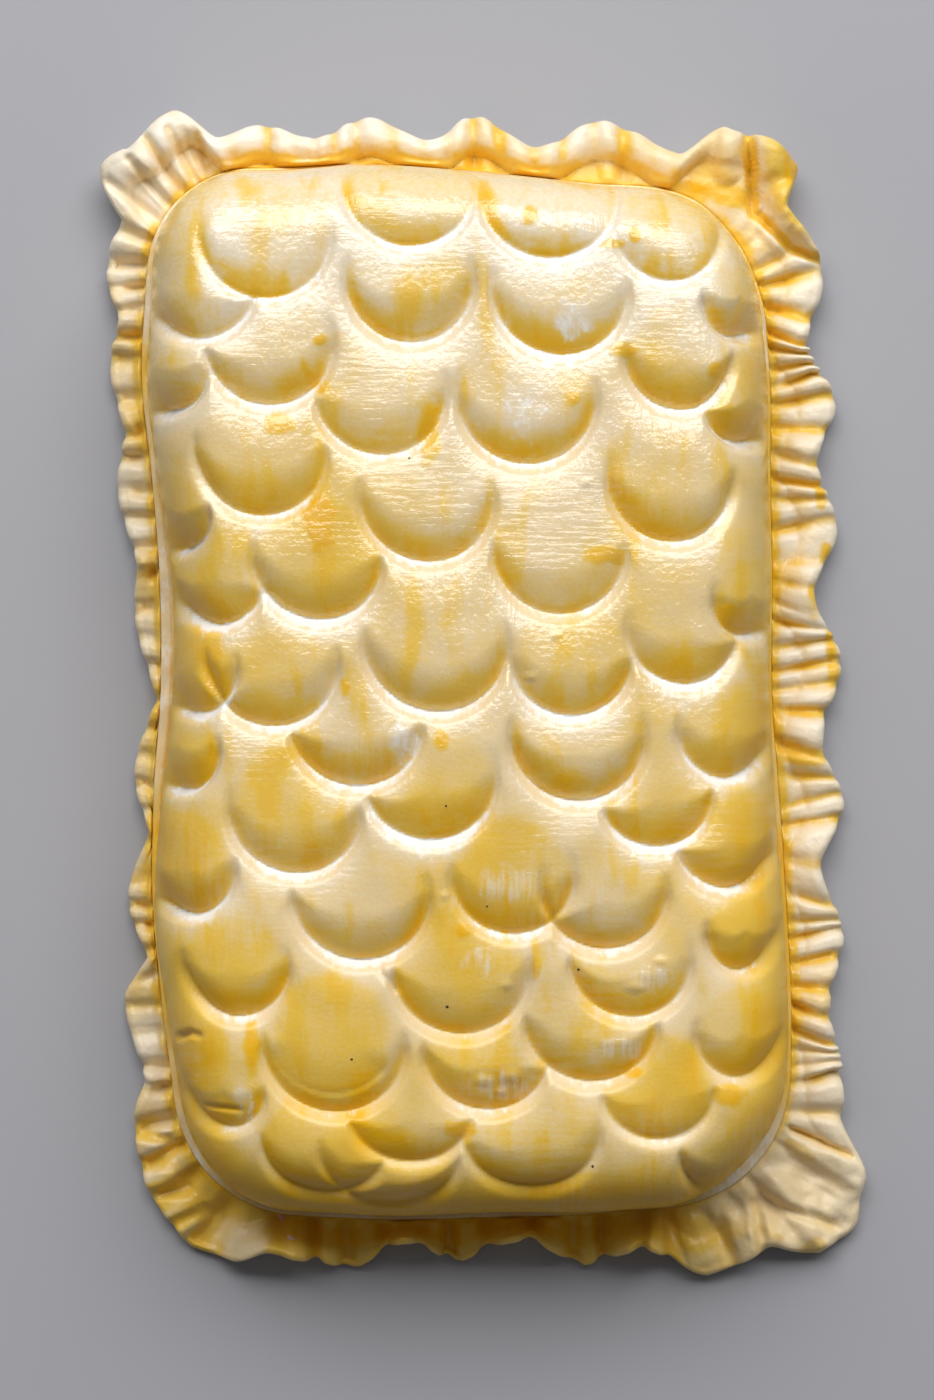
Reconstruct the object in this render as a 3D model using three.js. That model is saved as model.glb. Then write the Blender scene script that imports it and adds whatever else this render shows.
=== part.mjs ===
// A raw salmon wellington, ready for the oven. A lid of puff pastry is domed over the filling and pressed
// all over with a spoon's edge into fish scales. It stands on a base sheet whose border is pinched and
// crimped into a ruffle. Millimetres, +Z up, the long side along Y, the scales' tips towards -Y.
import * as THREE from "three";
import { mergeGeometries, mergeVertices } from "three/addons/utils/BufferGeometryUtils.js";

// Lid, measured at its foot
const FOOT_WIDTH = 148;
const FOOT_LENGTH = 249;
const FOOT_CORNERS = { farLeft: 27, farRight: 36, nearRight: 33, nearLeft: 29 };
const LEAN = -0.03; // the hand-shaped parcel leans this much in X for each millimetre of Y
const PLATEAU = 42; // height of the lid inside its shoulders
const CROWN = 5; // how much higher the middle is
const SHOULDER = 20; // plan width over which the wall rounds over into the top
const SHOULDER_POWER = 2.6;
const LIP_WIDTH = 1.3; // the lid's cut edge, a narrow flange round its foot
const LIP_TOP = 7.6;
const CREASE_DEPTH = 0.5; // the fold line between flange and wall
const UNEVEN = 0.7; // soft lumps of the filling under the sheet

// Scales
const PRESS_DEPTH = 4.4;
const PRESS_INNER = 10; // the scale rolls down into its groove over this width
const PRESS_OUTER = 4.2; // and the groove climbs out over this one
const ARC_FULL = THREE.MathUtils.degToRad(55); // full depth from the tip to this angle
const ARC_END = THREE.MathUtils.degToRad(112); // nothing is left of the groove here
const PRESS_FADE = 3.5; // plan width over which the presses die out above the lid's foot

// Each press: the scale's tip, [x, y] from the lid's middle, and the radius of the spoon's edge there. Rows
// run from the far end to the near end, and the presses along the long sides are narrower.
const SCALE_ROWS = [
  [[-59, 81, 14.2], [-43, 90, 15.4], [-9.5, 102, 15.5], [22.5, 99.2, 16], [50, 94, 12.8], [66.4, 82, 8.8]],
  [[-69, 64.5, 12.8], [-43, 65.5, 15.1], [-10, 80, 14.7], [24.5, 77, 15.8], [51.7, 64.4, 12.9]],
  [[67.5, 57.3, 11.3], [-67.6, 32.6, 9.5], [-45.5, 40, 15.4], [-17.5, 54, 15.4], [16, 52, 16]],
  [[49, 34, 14.9], [67, 12.6, 9.2], [-57, 15, 11.9], [-33, 16, 14.9], [-7.5, 29.5, 15.4]],
  [[22.5, 17.5, 15.4], [51, 1.3, 13.6], [-63.3, -5, 11], [-44.5, -8.3, 15.5], [-6.5, -5, 16.5]],
  [[24.5, -6, 14], [60.3, -20.2, 11.8], [-67.6, -22.6, 10.3], [-25.5, -22, 15.4], [-9, -34.5, 15.6]],
  [[25.5, -25.5, 15.4], [43, -36, 13.3], [-66.2, -51.5, 12.4], [-40, -42, 15.4], [-25.5, -62, 15.8]],
  [[9.5, -56, 14.2], [30.5, -59.5, 14.5], [60, -45.5, 13.3], [62.9, -64.3, 9.2], [61.3, -89.2, 11]],
  [[-68.5, -81, 6], [-55, -75, 12.6]],
  [[-3, -79, 15.8], [36, -75, 14], [-32.5, -97, 16.5], [2.5, -96.5, 14.5], [26.5, -90, 15.4]],
  [[-58.5, -101, 9.6], [-15.5, -109, 14.9], [41.5, -103.5, 13.5]],
  [[-35.5, -117.5, 14.5], [-20.5, -121, 16], [12, -116, 16], [60.5, -120, 14.2]],
];

// How far the lid's cut edge strays outwards from the even foot, at even steps along each side: on the long
// sides from -STRAY_ALONG to STRAY_ALONG, on the ends from -STRAY_ACROSS to STRAY_ACROSS
const STRAY_ALONG = 100;
const STRAY_ACROSS = 60;
const STRAYS = {
  right: [0.5, 1.4, 0.9, 0, -1, -0.2, 0.2, 0.8, -0.3],
  left: [-1.8, 0.5, 2, 1, -1.4, -2, -0.9, 0.9, -1],
  far: [0, 0, 0.8, -0.5, -2.2, -4, -1.5],
  near: [0, 0.8, 1.6, 1, 0.5, -1, -1],
};

// Base sheet and its ruffled border
const SHEET_TOP = 4; // the flat sheet under the lid
const LID_GAP = 0.3;
const STEP_GAP = 0.4; // plan gap between the lid's foot and the border
const BORDER_TOP = 6.8; // where the border meets the lid
const EDGE_TOP = 5.4; // top of the outer edge where it lies down
const EDGE_THICKNESS = 4;
const PLEATS = 104;
const PLEAT_HEIGHT = 0.8;
const PLEAT_REACH = 0.3;
const CORNER_REST = 0.8; // share of the lift that is missing where two sides meet

// How far the outer edge of each side stands up where it is pinched in between two lobes
const LIFT = { far: 5.5, right: 4, near: 8.5, left: 3 };

// Lobes and notches of the ruffle in turn, each with the border's width there: placed along X on the far
// and near sides, along Y on the right and left, and by angle in degrees at the corners
const RUFFLE = {
  right: [
    [-92.5, 12.7], [-76.3, 9.3], [-58.8, 13.6], [-42.8, 9.1], [-26.8, 15.8], [-13, 11.5], [6.8, 17.2],
    [23.5, 10.3], [38.8, 16.2], [55.7, 11.5], [69, 16], [84, 9.8],
  ],
  farRight: [[17, 16.6], [33, 14.5], [41, 23.4], [46, 23.3], [58.6, 19.3], [68, 9]],
  far: [[36.5, 15.3], [20.5, 7.2], [6.6, 13.6], [-4.6, 6.7], [-19.6, 11.3], [-32, 6.7], [-45.6, 10.5]],
  farLeft: [[103.4, 8.1], [116, 18.2], [133, 16.6], [143, 19.2], [155.5, 8.7]],
  left: [
    [100.4, 10], [88.4, 6], [77.7, 7.9], [61.7, 5.3], [47.9, 8.8], [30, 5.3], [19.7, 6.7], [-1.8, 1.2],
    [-19.4, 5.3], [-33.8, 0.9], [-50, 6.2], [-63.8, 2.4], [-75, 9.3], [-93, 6.4],
  ],
  nearLeft: [[197, 11.6], [226, 15.4], [236, 17.4], [249, 14.5], [260, 9.7]],
  near: [[-31.6, 12.7], [-18.4, 5], [-6.5, 11.2], [9.1, 5.3], [24, 12.9], [38.8, 9.3]],
  nearRight: [[284, 18.1], [302, 17.3], [312, 25.9], [321, 28.2], [331, 24.6], [346.5, 14]],
};
const LEAST_WIDTH = 2.6; // the border's sheet shows at least this much beyond the lid

// Facets: plan distances of the outer grid lines from the lid's edge, then even cells to the middle
const EDGE_LINES = [0, 0.3, LIP_WIDTH - 0.3, LIP_WIDTH + 0.3, 4, 6, 8.5, 11.5];
const CELLS_ACROSS = 41;
const CELLS_ALONG = 71;

const { smoothstep, lerp, clamp, degToRad } = THREE.MathUtils;

// Radius of the foot's corner in the quadrant of a point.
function cornerRadius(x, y) {
  if (y > 0) return x < 0 ? FOOT_CORNERS.farLeft : FOOT_CORNERS.farRight;
  return x < 0 ? FOOT_CORNERS.nearLeft : FOOT_CORNERS.nearRight;
}

// Moves a point of the foot's full rectangle into the rounded foot: each corner square becomes a quarter
// disc, so that lines along the edge stay at one distance from it. Gives the point and that distance.
function intoFoot(x, y) {
  const radius = cornerRadius(x, y);
  const across = Math.abs(x) - (FOOT_WIDTH / 2 - radius);
  const along = Math.abs(y) - (FOOT_LENGTH / 2 - radius);
  if (across <= 0 || along <= 0) {
    return { x, y, inset: radius - Math.max(across, along) };
  }
  const reach = Math.max(across, along);
  const share = Math.min(across, along) / reach;
  const angle = across >= along ? (share * Math.PI) / 4 : Math.PI / 2 - (share * Math.PI) / 4;
  return {
    x: Math.sign(x) * (Math.abs(x) - across + reach * Math.cos(angle)),
    y: Math.sign(y) * (Math.abs(y) - along + reach * Math.sin(angle)),
    inset: radius - reach,
  };
}

// Smooth curves through the strays' steps.
const STRAY_CURVES = {};
for (const [side, steps] of Object.entries(STRAYS)) {
  STRAY_CURVES[side] = new THREE.SplineCurve(steps.map((step, i) => new THREE.Vector2(i, step)));
}

// How far the lid's edge strays outwards at a place along a side.
function strayAt(side, at, half) {
  return STRAY_CURVES[side].getPoint(clamp((at / half + 1) / 2, 0, 1)).y;
}

// A plan point of the even foot, moved to the hand-cut one.
function strayed(x, y) {
  const sideways = strayAt(x > 0 ? "right" : "left", y, STRAY_ALONG);
  const endways = strayAt(y > 0 ? "far" : "near", x, STRAY_ACROSS);
  return new THREE.Vector2(x * (1 + (2 * sideways) / FOOT_WIDTH), y * (1 + (2 * endways) / FOOT_LENGTH));
}

// Height of the lid before it is pressed, at a plan point and its distance from the lid's edge.
function lidHeight(x, y, inset) {
  if (inset <= LIP_WIDTH) {
    return LIP_TOP - CREASE_DEPTH * smoothstep(inset, LIP_WIDTH / 2, LIP_WIDTH);
  }
  const rise = Math.min(1, (inset - LIP_WIDTH) / SHOULDER);
  const wall = (1 - (1 - rise) ** SHOULDER_POWER) ** (1 / SHOULDER_POWER);
  const crown = CROWN * (1 - (2 * x / FOOT_WIDTH) ** 2) * (1 - (2 * y / FOOT_LENGTH) ** 2);
  const lumps = UNEVEN * Math.sin(x / 17 + 1) * Math.sin(y / 23 + 2);
  const crease = LIP_TOP - CREASE_DEPTH;
  return crease + (PLATEAU - crease + crown + lumps) * wall;
}

// The circles that the spoon's edge pressed, from their tips.
const SPOON_ARCS = SCALE_ROWS.flat().map(([x, y, radius]) => ({ x, y: y + radius, radius }));

// How deep the lid is pressed at a plan point, by the arc that goes deepest there.
function pressDepth(x, y) {
  let deepest = 0;
  for (const arc of SPOON_ARCS) {
    const across = x - arc.x;
    const along = y - arc.y;
    const outside = Math.hypot(across, along) - arc.radius;
    if (outside < -PRESS_INNER || outside > PRESS_OUTER) continue;
    const fromTip = Math.abs(Math.atan2(across, -along));
    const flank = 1 - (outside < 0 ? -outside / PRESS_INNER : outside / PRESS_OUTER);
    const strength = 1 - smoothstep(fromTip, ARC_FULL, ARC_END);
    deepest = Math.max(deepest, PRESS_DEPTH * strength * flank ** 2);
  }
  return deepest;
}

// A point of the lid's smooth upper surface, from a point of the foot's full rectangle.
function smoothLid(x, y) {
  const foot = intoFoot(x, y);
  const plan = strayed(foot.x, foot.y);
  return new THREE.Vector3(plan.x, plan.y, lidHeight(foot.x, foot.y, foot.inset));
}

// The same point with the scales pressed into it, square to the surface.
function pressedLid(x, y) {
  const step = 0.4;
  const point = smoothLid(x, y);
  const { inset } = intoFoot(x, y);
  if (inset <= LIP_WIDTH) return point;
  const across = smoothLid(x + step, y).sub(smoothLid(x - step, y));
  const along = smoothLid(x, y + step).sub(smoothLid(x, y - step));
  const normal = across.cross(along).normalize();
  const strength = smoothstep(inset, LIP_WIDTH, LIP_WIDTH + PRESS_FADE);
  return point.addScaledVector(normal, -strength * pressDepth(point.x, point.y));
}

// Grid lines over a length: close together at both ends, even between.
function gridLines(length, cells) {
  const half = length / 2;
  const first = EDGE_LINES.map((inset) => inset - half);
  const inner = EDGE_LINES.at(-1) - half;
  const middle = Array.from({ length: cells - 1 }, (_, i) => lerp(inner, -inner, (i + 1) / cells));
  return [...first, ...middle, ...first.map((v) => -v).reverse()];
}

// The closed loop of vertex numbers round a plane's grid, anticlockwise from above.
function rimOfGrid(columns, rows) {
  const at = (column, row) => row * columns + column;
  const loop = [];
  for (let row = 0; row < rows - 1; row++) loop.push(at(0, row));
  for (let column = 0; column < columns - 1; column++) loop.push(at(column, rows - 1));
  for (let row = rows - 1; row > 0; row--) loop.push(at(columns - 1, row));
  for (let column = columns - 1; column > 0; column--) loop.push(at(column, 0));
  return loop;
}

// A closed solid's bare geometry: one vertex for each place.
function welded(parts) {
  for (const part of parts) {
    part.deleteAttribute("normal");
    part.deleteAttribute("uv");
  }
  const whole = mergeVertices(parts.length > 1 ? mergeGeometries(parts) : parts[0], 1e-4);
  whole.computeVertexNormals();
  return whole;
}

// The scaled lid: a grid draped over the dome, its outer line brought down to the sheet, closed below.
function lidGeometry() {
  const xs = gridLines(FOOT_WIDTH, CELLS_ACROSS);
  const ys = gridLines(FOOT_LENGTH, CELLS_ALONG).reverse();
  const top = new THREE.PlaneGeometry(1, 1, xs.length - 1, ys.length - 1);
  const place = top.getAttribute("position");
  const under = SHEET_TOP + LID_GAP;
  ys.forEach((y, row) => {
    xs.forEach((x, column) => {
      const onEdge = row === 0 || column === 0 || row === ys.length - 1 || column === xs.length - 1;
      const point = pressedLid(x, y);
      place.setXYZ(row * xs.length + column, point.x, point.y, onEdge ? under : point.z);
    });
  });
  const edge = rimOfGrid(xs.length, ys.length).map((i) => new THREE.Vector2(place.getX(i), place.getY(i)));
  const below = new THREE.ShapeGeometry(new THREE.Shape(edge));
  below.translate(0, 0, under);
  below.setIndex(Array.from(below.index.array).reverse()); // faces down
  return welded([top, below]);
}

// The foot's outline as a path, anticlockwise from the middle of the right side.
function footPath() {
  const right = FOOT_WIDTH / 2;
  const far = FOOT_LENGTH / 2;
  const { farLeft, farRight, nearRight, nearLeft } = FOOT_CORNERS;
  const quarter = Math.PI / 2;
  const path = new THREE.Path();
  path.moveTo(right, 0);
  path.lineTo(right, far - farRight);
  path.absarc(right - farRight, far - farRight, farRight, 0, quarter);
  path.lineTo(-right + farLeft, far);
  path.absarc(-right + farLeft, far - farLeft, farLeft, quarter, 2 * quarter);
  path.lineTo(-right, -far + nearLeft);
  path.absarc(-right + nearLeft, -far + nearLeft, nearLeft, 2 * quarter, 3 * quarter);
  path.lineTo(right - nearRight, -far);
  path.absarc(right - nearRight, -far + nearRight, nearRight, 3 * quarter, 4 * quarter);
  path.lineTo(right, 0);
  return path;
}

// How far the border stands up between lobes along an outward direction, blended where two sides meet.
function liftAlong(out) {
  const side = out.x > 0 ? LIFT.right : LIFT.left;
  const end = out.y > 0 ? LIFT.far : LIFT.near;
  return (side * out.x ** 2 + end * out.y ** 2) * (1 - CORNER_REST * 4 * (out.x * out.y) ** 2);
}

// Plan point of the even foot for a mark of the ruffle.
function footMark(side, at) {
  const right = FOOT_WIDTH / 2;
  const far = FOOT_LENGTH / 2;
  if (side === "right" || side === "left") return new THREE.Vector2(side === "right" ? right : -right, at);
  if (side === "far" || side === "near") return new THREE.Vector2(at, side === "far" ? far : -far);
  const radius = FOOT_CORNERS[side];
  const angle = degToRad(at);
  const x = Math.sign(Math.cos(angle)) * (right - radius) + radius * Math.cos(angle);
  const y = Math.sign(Math.sin(angle)) * (far - radius) + radius * Math.sin(angle);
  return new THREE.Vector2(x, y);
}

// The ruffle's marks in order round the foot: share of the way, width, and 1 for a lobe to 0 for a notch.
function ruffleMarks(path) {
  const samples = 1500;
  const places = Array.from({ length: samples }, (_, i) => path.getPoint(i / samples));
  const marks = Object.entries(RUFFLE).flatMap(([side, turns]) =>
    turns.map(([at, width]) => {
      const away = places.map((place) => place.distanceTo(footMark(side, at)));
      return { share: away.indexOf(Math.min(...away)) / samples, width };
    }),
  );
  marks.sort((a, b) => a.share - b.share);
  marks.forEach((mark, i) => {
    const sides = [marks.at(i - 1), marks[(i + 1) % marks.length]];
    mark.lobe = sides.filter((other) => mark.width > other.width).length / 2;
  });
  return marks;
}

// The border's width, and 1 on a lobe to 0 in a notch, at a share of the way round the foot.
function ruffleAt(marks, share) {
  const next = marks.findIndex((mark) => mark.share > share);
  const first = marks.at(next === -1 ? -1 : next - 1);
  const second = marks[Math.max(next, 0)];
  const span = (second.share - first.share + 1) % 1;
  const eased = 0.5 - 0.5 * Math.cos((Math.PI * ((share - first.share + 1) % 1)) / span);
  const width = Math.max(LEAST_WIDTH, lerp(first.width, second.width, eased));
  return { width, lobe: lerp(first.lobe, second.lobe, eased) };
}

// The border's section as a closed turn from the axis under the sheet to the axis on top of it. Each line
// is a share of the border's width and says whether it lies on the upper face.
const SECTION = [
  { share: 0, step: 0, z: 0 },
  { share: 0.5 },
  { share: 0.93 },
  { share: 1, nose: true },
  { share: 0.95, upper: true },
  { share: 0.68, upper: true },
  { share: 0.34, upper: true },
  { share: 0, step: STEP_GAP + 0.5, upper: true },
  { share: 0, step: STEP_GAP, z: SHEET_TOP },
];

// A point of the ruffled border: one line of its section at one place round the foot.
function borderPoint(line, foot, out, ruffle, pleat) {
  const width = ruffle.width + PLEAT_REACH * pleat;
  const reach = line.share * width + (line.step ?? 0);
  const place = foot.clone().addScaledVector(out, reach);
  if (line.z !== undefined) return new THREE.Vector3(place.x, place.y, line.z);
  const lift = (1 - ruffle.lobe) * liftAlong(out) * line.share ** 1.5;
  const ridge = pleat * PLEAT_HEIGHT * smoothstep(line.share, 0, 0.4);
  const top = lerp(BORDER_TOP, EDGE_TOP, line.share) + lift + ridge;
  const thickness = lerp(BORDER_TOP, EDGE_THICKNESS, line.share);
  const below = Math.max(0, top - thickness);
  const z = line.upper ? top : line.nose ? (top + below) / 2 : below;
  return new THREE.Vector3(place.x, place.y, z);
}

// The base sheet with its ruffle: a turned section whose rings are laid round the foot.
function baseGeometry() {
  const rounds = 2 * PLEATS;
  const axis = new THREE.Vector2(0, 0);
  const profile = [axis, ...SECTION.map((_, i) => new THREE.Vector2(1, i)), axis];
  const turned = new THREE.LatheGeometry(profile, rounds);
  const place = turned.getAttribute("position");
  const path = footPath();
  const marks = ruffleMarks(path);
  for (let round = 0; round <= rounds; round++) {
    const share = (round % rounds) / rounds;
    const even = path.getPoint(share);
    const foot = strayed(even.x, even.y);
    const ruffle = ruffleAt(marks, share);
    const heading = path.getTangent(share);
    const out = new THREE.Vector2(heading.y, -heading.x);
    const pleat = round % 2 ? 1 : -1;
    profile.forEach((_, i) => {
      const point = SECTION[i - 1]
        ? borderPoint(SECTION[i - 1], foot, out, ruffle, pleat)
        : new THREE.Vector3(0, 0, i === 0 ? 0 : SHEET_TOP);
      place.setXYZ(round * profile.length + i, point.x, point.y, point.z);
    });
  }
  return welded([turned]);
}

// A named mesh of pastry that leans as the parcel does.
function pastry(name, geometry, color, roughness) {
  const shear = new THREE.Matrix4().makeShear(0, 0, LEAN, 0, 0, 0);
  const material = new THREE.MeshStandardMaterial({ color, roughness, metalness: 0 });
  const mesh = new THREE.Mesh(geometry.applyMatrix4(shear), material);
  mesh.name = name;
  return mesh;
}

const parcel = new THREE.Group();
parcel.add(pastry("scaled_lid", lidGeometry(), 0xe9cf86, 0.35));
parcel.add(pastry("crimped_base", baseGeometry(), 0xf0d9a0, 0.5));

// The origin is under the middle of the whole parcel.
const middle = new THREE.Box3().setFromObject(parcel).getCenter(new THREE.Vector3());
parcel.position.set(-middle.x, -middle.y, 0);

export default parcel;
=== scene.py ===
"""A raw salmon wellington ready for the oven: a domed pastry lid pressed into fish scales, on a base sheet
with a pinched and crimped border, brushed with egg wash."""
import math
import random

import bmesh
import bpy
import numpy as np
from bpy.props import FloatProperty, FloatVectorProperty, IntProperty, PointerProperty
from mathutils import Matrix, Vector, noise


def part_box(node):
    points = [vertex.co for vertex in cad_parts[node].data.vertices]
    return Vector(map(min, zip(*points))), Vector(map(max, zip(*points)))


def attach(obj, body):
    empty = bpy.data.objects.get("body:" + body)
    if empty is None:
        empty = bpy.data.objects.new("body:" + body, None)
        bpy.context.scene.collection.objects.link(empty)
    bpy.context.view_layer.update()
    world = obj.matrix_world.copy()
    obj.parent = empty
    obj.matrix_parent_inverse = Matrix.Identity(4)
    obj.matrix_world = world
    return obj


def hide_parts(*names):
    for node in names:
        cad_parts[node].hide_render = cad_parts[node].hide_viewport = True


bl_info = {
    "name": "Salmon wellington",
    "version": (1, 0, 0),
    "blender": (4, 5, 0),
    "location": "3D View > Sidebar > Wellington",
    "description": "Models a raw salmon wellington with a scaled lid and a crimped border",
    "category": "Add Mesh",
}

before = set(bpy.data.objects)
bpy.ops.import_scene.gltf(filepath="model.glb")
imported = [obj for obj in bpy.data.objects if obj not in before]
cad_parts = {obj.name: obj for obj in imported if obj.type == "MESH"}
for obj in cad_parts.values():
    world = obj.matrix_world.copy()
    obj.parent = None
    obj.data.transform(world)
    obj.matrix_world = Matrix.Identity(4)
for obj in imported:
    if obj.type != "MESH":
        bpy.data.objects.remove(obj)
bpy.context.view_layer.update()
LID_LOW, LID_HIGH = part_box("scaled_lid")

MM = 0.001
SEED = 7

# Each press of the spoon in millimetres: the scale's tip, x and y from the lid's middle, and its radius
SCALES = (
    (-59, 81, 14.2), (-43, 90, 15.4), (-9.5, 102, 15.5), (22.5, 99.2, 16), (50, 94, 12.8),
    (66.4, 82, 8.8), (-69, 64.5, 12.8), (-43, 65.5, 15.1), (-10, 80, 14.7), (24.5, 77, 15.8),
    (51.7, 64.4, 12.9), (67.5, 57.3, 11.3), (-67.6, 32.6, 9.5), (-45.5, 40, 15.4), (-17.5, 54, 15.4),
    (16, 52, 16), (49, 34, 14.9), (67, 12.6, 9.2), (-57, 15, 11.9), (-33, 16, 14.9), (-7.5, 29.5, 15.4),
    (22.5, 17.5, 15.4), (51, 1.3, 13.6), (-63.3, -5, 11), (-44.5, -8.3, 15.5), (-6.5, -5, 16.5),
    (24.5, -6, 14), (60.3, -20.2, 11.8), (-67.6, -22.6, 10.3), (-25.5, -22, 15.4), (-9, -34.5, 15.6),
    (25.5, -25.5, 15.4), (43, -36, 13.3), (-66.2, -51.5, 12.4), (-40, -42, 15.4), (-25.5, -62, 15.8),
    (9.5, -56, 14.2), (30.5, -59.5, 14.5), (60, -45.5, 13.3), (62.9, -64.3, 9.2), (61.3, -89.2, 11),
    (-55, -75, 12.6), (-3, -79, 15.8), (36, -75, 14), (-32.5, -97, 16.5), (2.5, -96.5, 14.5),
    (26.5, -90, 15.4), (-58.5, -101, 9.6), (-15.5, -109, 14.9), (41.5, -103.5, 13.5),
    (-35.5, -117.5, 14.5), (-20.5, -121, 16), (12, -116, 16), (60.5, -120, 14.2),
)

# Presses that slipped and left a second line: tip x, y and radius, and the part of the arc in degrees
DOUBLE_PRESSES = (
    (-33, -92.8, 15, -75, 60),
    (-25, -21.2, 14.8, -75, 0),
    (-27.7, 67, 8, -110, -20),
)

# Egg wash that ran together, as spots: middle x and y, half width and half length in millimetres
YOLK_DROPS = (
    (-2.2, -55, 1.5, 1.6), (-6, -11, 1.4, 2.6), (36, 102.5, 3.2, 1.5), (38.3, 78, 3.4, 1.6),
    (18, 109, 1.8, 2.4), (42, 104.5, 1.3, 2), (-51.4, -81.5, 1.7, 7), (60.5, 73.5, 2.8, 1.9),
    (26.5, 66.5, 1.4, 1.5), (14.2, -61.5, 1, 5), (61.5, 17, 1.4, 2.6), (-27.5, 0.5, 1.2, 2),
    (-6.3, 59, 2.4, 7), (-41, 61, 3.6, 2.4), (-32, 39, 3, 5.5), (36, -88, 2.4, 1), (-31, 80, 1.5, 1.2),
    (58, -93, 3.5, 2.5), (-4, -101, 3, 2), (33, 31, 4, 2),
)

# Patches that the brush missed, as such spots
BARE_PATCHES = (
    (15.8, 63.3, 4.8, 6.3), (-14.4, -11.9, 3.3, 6), (-53.4, -96, 2.6, 5), (27, 84, 4, 5),
)

# Patches that are still wet and glossy, as such spots; their glint is partly painted white into the colour
WET_PATCHES = (
    (9, -45, 7, 3.6), (41, -66, 4, 2.6), (6, -91, 6, 2.8), (2, -62, 3.2, 3), (33, -82, 6, 2.6),
)

# Beads of egg wash that stand up, as such spots
WASH_BEADS = (
    (1.5, -89.5, 2.4, 1.4), (8, -88.5, 2.8, 1.7), (5.5, -92.5, 1.6, 1), (7.5, -67.5, 1.6, 1.2),
    (37, -68, 2.6, 1.3), (43, -62, 1.8, 1.1), (-6, -47, 1.2, 0.9), (15, 3, 1.6, 0.8),
    (21, 12.5, 1.5, 0.9), (29, 47.5, 1.4, 0.9),
)

# Small tears and creases in the lid: both ends in millimetres, depth and half width
NICKS = (
    (-63.5, -96, -55, -96.5, 0.9, 0.6),
    (-69, -80.5, -66, -79, 1.5, 0.8),
    (-66, -79, -63.8, -79.6, 1.2, 0.7),
    (-22.5, -63, -18, -69, 0.8, 0.7),
)

# Where the lid's cut edge lies flatter: middle x and y, extra width and reach in millimetres
WIDE_LIPS = (
    (64, -113, 2, 19), (-73, 93, 1, 18), (8, -124, 1.1, 40), (-74, 12, 2.1, 32), (-56, -114, 1.6, 24),
)

# How far the lid's cut edge strays outwards in millimetres, at even steps along each side
STRAYS = {
    "right": (0.5, 1.4, 0.9, 0, -1, -0.2, 0.2, 0.8, -0.3),
    "left": (-1.8, 0.5, 2, 1, -1.4, -2, -0.9, 0.9, -1),
    "far": (0, 0, 0.8, -0.5, -2.2, -4, -1.5),
    "near": (0, 0.8, 1.6, 1, 0.5, -1, -1),
}
STRAY_ALONG = 100  # the steps on the long sides go from minus this to this
STRAY_ACROSS = 60

# The foot's corners in turn, with the signs of x and y there
CORNERS = {"far_right": (1, 1), "far_left": (-1, 1), "near_left": (-1, -1), "near_right": (1, -1)}

# Lobes and notches of the ruffle in turn: place along the side, or angle at a corner, and width there
RUFFLE = {
    "right": (
        (-92.5, 12.7), (-76.3, 9.3), (-58.8, 13.6), (-42.8, 9.1), (-26.8, 15.8), (-13, 11.5), (6.8, 17.2),
        (23.5, 10.3), (38.8, 16.2), (55.7, 11.5), (69, 16), (84, 9.8),
    ),
    "far_right": ((17, 16.6), (33, 14.5), (41, 23.4), (46, 23.3), (58.6, 19.3), (68, 9)),
    "far": ((36.5, 15.3), (20.5, 7.2), (6.6, 13.6), (-4.6, 6.7), (-19.6, 11.3), (-32, 6.7), (-45.6, 10.5)),
    "far_left": ((103.4, 8.1), (116, 18.2), (133, 16.6), (143, 19.2), (155.5, 8.7)),
    "left": (
        (100.4, 10), (88.4, 6), (77.7, 7.9), (61.7, 5.3), (47.9, 8.8), (30, 5.3), (19.7, 6.7), (-1.8, 1.2),
        (-19.4, 5.3), (-33.8, 0.9), (-50, 6.2), (-63.8, 2.4), (-75, 9.3), (-93, 6.4),
    ),
    "near_left": ((197, 11.6), (226, 15.4), (236, 17.4), (249, 14.5), (260, 9.7)),
    "near": ((-31.6, 12.7), (-18.4, 5), (-6.5, 11.2), (9.1, 5.3), (24, 12.9), (38.8, 9.3)),
    "near_right": ((284, 18.1), (302, 17.3), (312, 25.9), (321, 28.2), (331, 24.6), (346.5, 14)),
}

# Deep folds of the border: both ends in millimetres, depth and half width
FOLDS = (
    (-72, 131, -63.5, 118.5, 2.4, 1.2), (-66.5, 133, -60, 120, 2.2, 1.2), (-76, 126, -67, 115.5, 2, 1.2),
    (-81, 121, -70.5, 112.5, 1.6, 1.3), (-60, 132, -56.5, 122, 1.8, 1.2),
    (71.4, 133, 72, 113.5, 3.6, 1.2), (73, 113.5, 80.6, 105.2, 2.6, 1.2),
    (80.6, 105.2, 88.9, 102.3, 2.2, 1.2), (65.4, -122.8, 66.8, -134, 2, 1.6),
    (78, -125, 84, -128, 1.5, 1.3), (74.5, -104.5, 88.5, -111, 2.2, 0.8),
    (70, -122, 80, -126.5, 1.2, 1.3), (76, -114, 88, -119, 0.8, 1.5), (57, -127, 60, -136, 1.4, 1.6),
    (-74, -113, -86, -113.5, 1, 1.6), (-70, -119, -82, -121, 1.8, 1.5), (-66, -124, -77, -129, 1.4, 1.6),
    (-62, -127, -63, -136, 1.4, 1.6), (-74, -107, -85, -105, 1.8, 1.5),
)

# Dark specks on the lid: x, y and radius in millimetres
SPECKS = (
    (-6.3, -72.5, 0.38), (24, -64, 0.32), (26, -109.5, 0.36), (3.5, -49.5, 0.26), (-28.5, -84.5, 0.3),
    (-5.2, -26.5, 0.26), (-11.2, 53, 0.3),
)

# Shreds of filling on the border: x, y, half length, half width in millimetres and heading in degrees
SHREDS = ((-47.6, -125.9, 2.5, 0.9, -58), (-45.2, -130.2, 1.4, 0.6, -40))

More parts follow.
